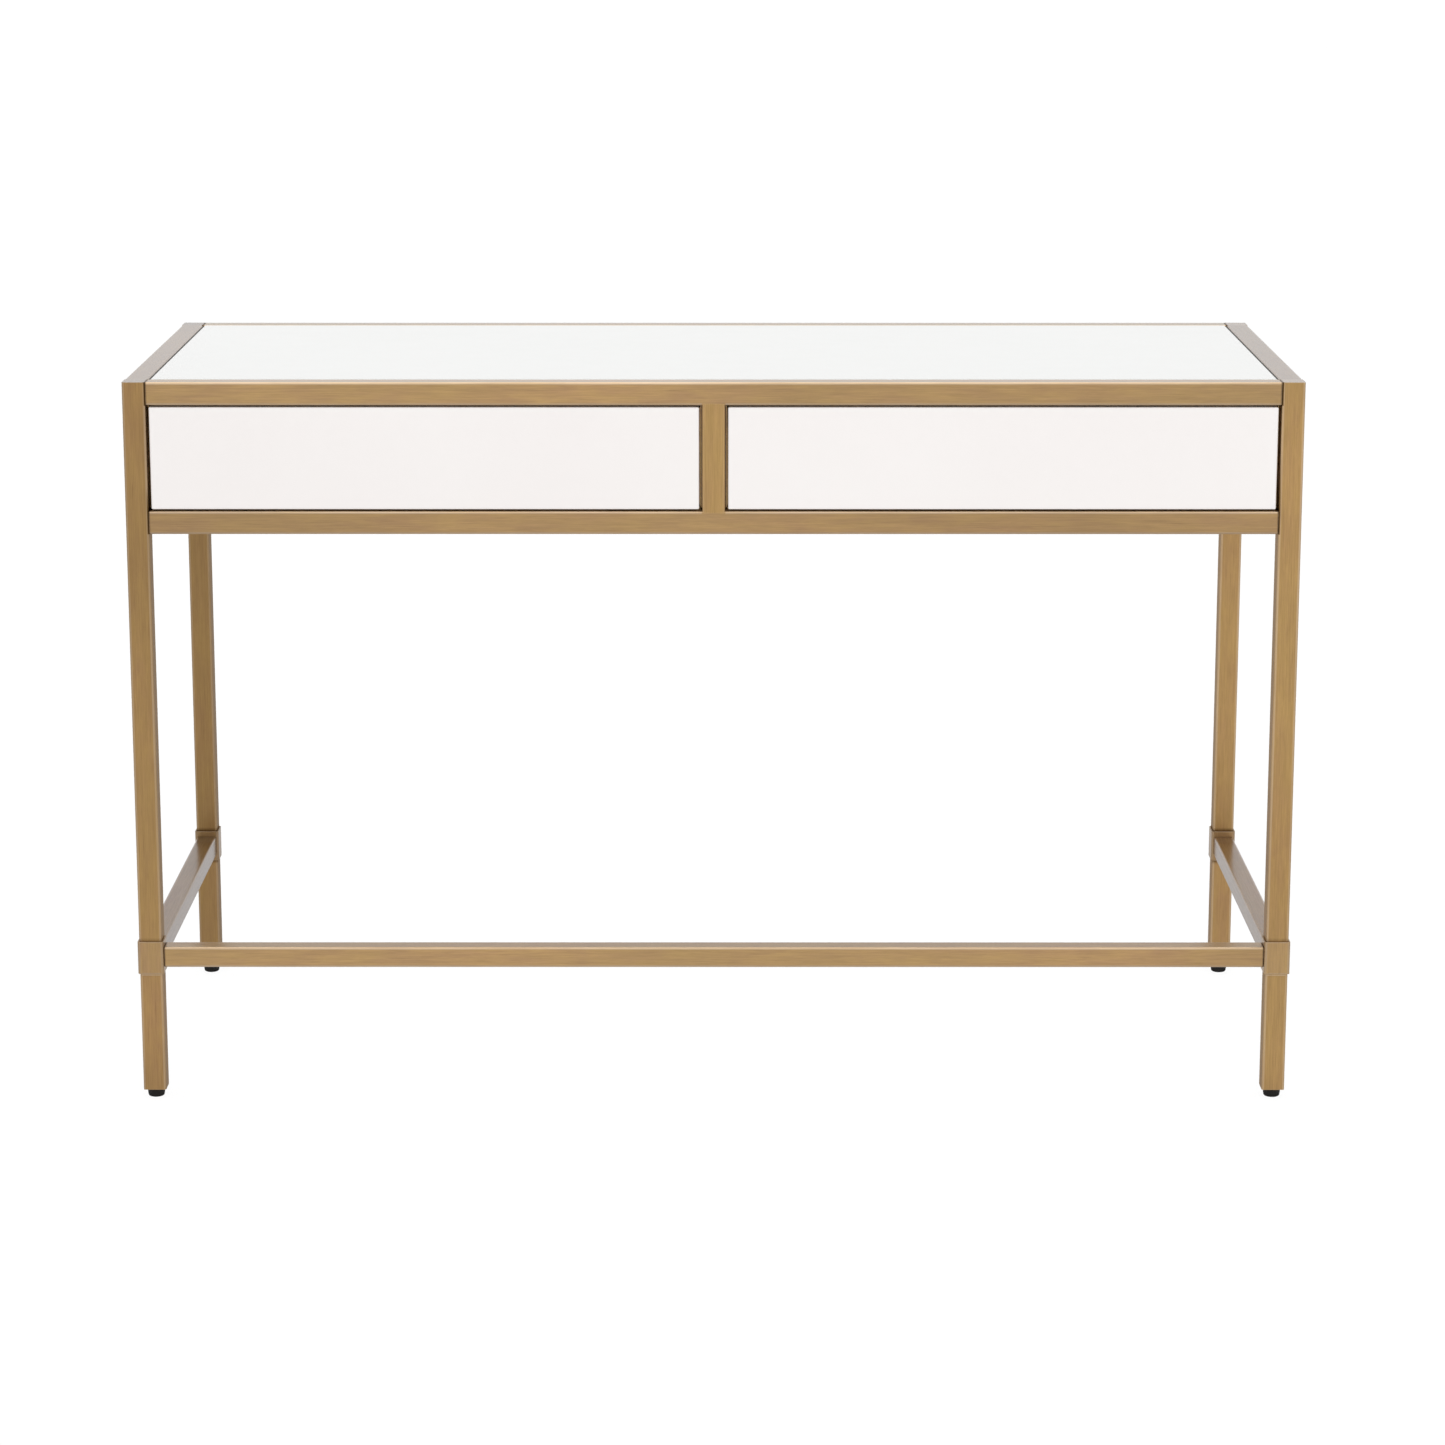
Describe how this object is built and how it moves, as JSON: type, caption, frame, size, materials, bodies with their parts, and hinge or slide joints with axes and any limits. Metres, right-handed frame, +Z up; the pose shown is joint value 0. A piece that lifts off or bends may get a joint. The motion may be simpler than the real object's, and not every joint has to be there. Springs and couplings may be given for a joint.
{
  "type": "vanity table",
  "caption": "Slim vanity table with a brushed brass-finished tube frame, a flush white top, inset push-to-open drawers on telescopic slides and levelling feet.",
  "frame": {"origin": "on the floor, at the centre of the footprint", "axes": "+X to the right along the table's width, +Y towards its back, +Z up; the drawers open towards -Y"},
  "size_m": [1.223, 0.512, 0.77],
  "materials": {
    "brass_tube": "brushed, antique brass plating",
    "white_glass": "gloss, painted white on the back",
    "white_lacquer": "satin white lacquer",
    "white_board": "white melamine facing",
    "drawer_wood": "clear satin birch",
    "zinc_steel": "zinc plated",
    "black_plastic": "matt moulded",
    "grey_plastic": "matt moulded"
  },
  "bodies": {
    "frame": {"leg_front_left": "brass_tube", "leg_front_right": "brass_tube", "leg_back_left": "brass_tube", "leg_back_right": "brass_tube", "leg_caps": "brass_tube", "collars": "brass_tube", "front_stretcher": "brass_tube", "left_stretcher": "brass_tube", "right_stretcher": "brass_tube", "front_top_rail": "brass_tube", "front_bottom_rail": "brass_tube", "mullion": "brass_tube", "back_top_rail": "brass_tube", "back_bottom_rail": "brass_tube", "left_top_rail": "brass_tube", "right_top_rail": "brass_tube", "left_bottom_rail": "brass_tube", "right_bottom_rail": "brass_tube", "bolt_covers": "brass_tube", "top_ledge": "brass_tube", "bottom_ledge": "brass_tube", "rail_nuts": "zinc_steel", "frame_bolts": "zinc_steel", "panel_screws": "zinc_steel", "slide_outers": "zinc_steel", "top_panel": "white_glass", "top_board": "white_board", "case_floor": "white_board", "left_panel": "white_lacquer", "right_panel": "white_lacquer", "back_panel": "white_lacquer", "partition": "white_board", "latch_bodies": "grey_plastic", "leg_plugs": "black_plastic"},
    "left_drawer": {"left_drawer_face": "white_lacquer", "left_drawer_front": "drawer_wood", "left_drawer_sides": "drawer_wood", "left_drawer_back": "drawer_wood", "left_drawer_bottom": "drawer_wood", "left_drawer_screws": "zinc_steel", "left_slide_inners": "zinc_steel"},
    "left_slide": {"left_slide_middles": "zinc_steel"},
    "left_latch": {"left_plunger": "black_plastic"},
    "right_drawer": {"right_drawer_face": "white_lacquer", "right_drawer_front": "drawer_wood", "right_drawer_sides": "drawer_wood", "right_drawer_back": "drawer_wood", "right_drawer_bottom": "drawer_wood", "right_drawer_screws": "zinc_steel", "right_slide_inners": "zinc_steel"},
    "right_slide": {"right_slide_middles": "zinc_steel"},
    "right_latch": {"right_plunger": "black_plastic"},
    "stud_front_left": {"stud_front_left": "zinc_steel"},
    "foot_front_left": {"foot_front_left": "black_plastic"},
    "stud_front_right": {"stud_front_right": "zinc_steel"},
    "foot_front_right": {"foot_front_right": "black_plastic"},
    "stud_back_left": {"stud_back_left": "zinc_steel"},
    "foot_back_left": {"foot_back_left": "black_plastic"},
    "stud_back_right": {"stud_back_right": "zinc_steel"},
    "foot_back_right": {"foot_back_right": "black_plastic"}
  },
  "joints": [
    {"name": "left_drawer_slide", "type": "slide", "parent": "frame", "child": "left_drawer", "axis": [0, -1, 0], "range_m": [0, 0.4]},
    {"name": "left_middle_slide", "type": "slide", "parent": "frame", "child": "left_slide", "axis": [0, -1, 0], "range_m": [0, 0.2]},
    {"name": "left_latch_press", "type": "slide", "parent": "frame", "child": "left_latch", "axis": [0, 1, 0], "range_m": [0, 0.003], "stiffness_N_per_m": 800, "springref_m": -0.002},
    {"name": "right_drawer_slide", "type": "slide", "parent": "frame", "child": "right_drawer", "axis": [0, -1, 0], "range_m": [0, 0.4]},
    {"name": "right_middle_slide", "type": "slide", "parent": "frame", "child": "right_slide", "axis": [0, -1, 0], "range_m": [0, 0.2]},
    {"name": "right_latch_press", "type": "slide", "parent": "frame", "child": "right_latch", "axis": [0, 1, 0], "range_m": [0, 0.003], "stiffness_N_per_m": 800, "springref_m": -0.002},
    {"name": "front_left_stud_turn", "type": "hinge", "parent": "foot_front_left", "child": "stud_front_left", "pos_m": [-0.5975, -0.242, 0.02], "axis": [0, 0, -1], "range_deg": [0, 3600]},
    {"name": "front_left_foot_travel", "type": "slide", "parent": "frame", "child": "foot_front_left", "axis": [0, 0, -1], "range_m": [0, 0.01]},
    {"name": "front_right_stud_turn", "type": "hinge", "parent": "foot_front_right", "child": "stud_front_right", "pos_m": [0.5975, -0.242, 0.02], "axis": [0, 0, -1], "range_deg": [0, 3600]},
    {"name": "front_right_foot_travel", "type": "slide", "parent": "frame", "child": "foot_front_right", "axis": [0, 0, -1], "range_m": [0, 0.01]},
    {"name": "back_left_stud_turn", "type": "hinge", "parent": "foot_back_left", "child": "stud_back_left", "pos_m": [-0.5975, 0.242, 0.02], "axis": [0, 0, -1], "range_deg": [0, 3600]},
    {"name": "back_left_foot_travel", "type": "slide", "parent": "frame", "child": "foot_back_left", "axis": [0, 0, -1], "range_m": [0, 0.01]},
    {"name": "back_right_stud_turn", "type": "hinge", "parent": "foot_back_right", "child": "stud_back_right", "pos_m": [0.5975, 0.242, 0.02], "axis": [0, 0, -1], "range_deg": [0, 3600]},
    {"name": "back_right_foot_travel", "type": "slide", "parent": "frame", "child": "foot_back_right", "axis": [0, 0, -1], "range_m": [0, 0.01]}
  ],
  "couplings": [
    {"joint": "left_middle_slide", "follows": "left_drawer_slide", "ratio": 0.5},
    {"joint": "right_middle_slide", "follows": "right_drawer_slide", "ratio": 0.5},
    {"joint": "front_left_stud_turn", "follows": "front_left_foot_travel", "rad_per_m": 6283},
    {"joint": "front_right_stud_turn", "follows": "front_right_foot_travel", "rad_per_m": 6283},
    {"joint": "back_left_stud_turn", "follows": "back_left_foot_travel", "rad_per_m": 6283},
    {"joint": "back_right_stud_turn", "follows": "back_right_foot_travel", "rad_per_m": 6283}
  ]
}
